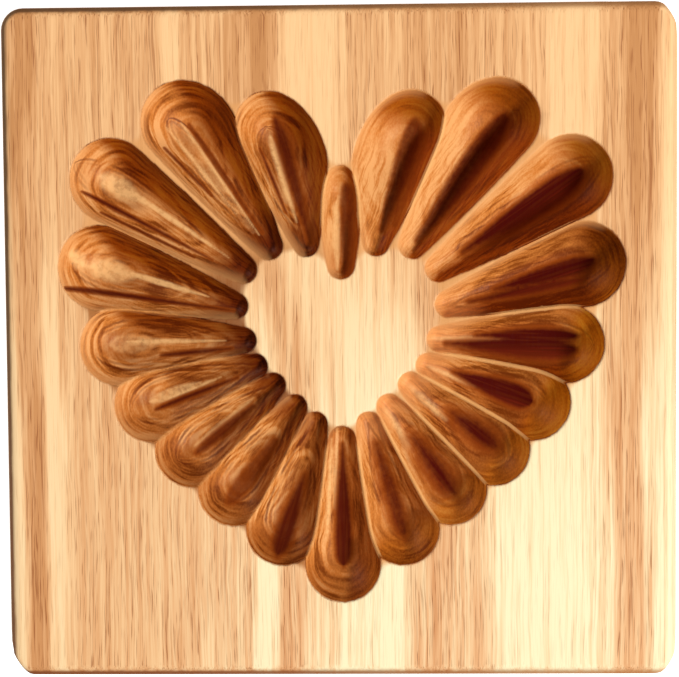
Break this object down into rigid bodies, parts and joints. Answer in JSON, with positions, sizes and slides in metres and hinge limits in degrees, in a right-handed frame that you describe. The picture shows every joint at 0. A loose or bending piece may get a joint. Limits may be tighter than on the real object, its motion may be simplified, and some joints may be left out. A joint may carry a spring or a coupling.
{
  "type": "cookie mould",
  "caption": "Square wooden cookie mould with a heart of rounded petal hollows carved into its flat face; dough is pressed into the hollows and turned out",
  "frame": {"origin": "centre of the board's flat back, on the surface it rests on", "axes": "+X to the right of the heart, +Y up the heart towards its cleft and along the grain, +Z out of the carved face"},
  "size_m": [0.12, 0.12, 0.02],
  "materials": {
    "wood": "oiled, hand sanded"
  },
  "bodies": {
    "root": {"mould_board": "wood"}
  },
  "joints": []
}
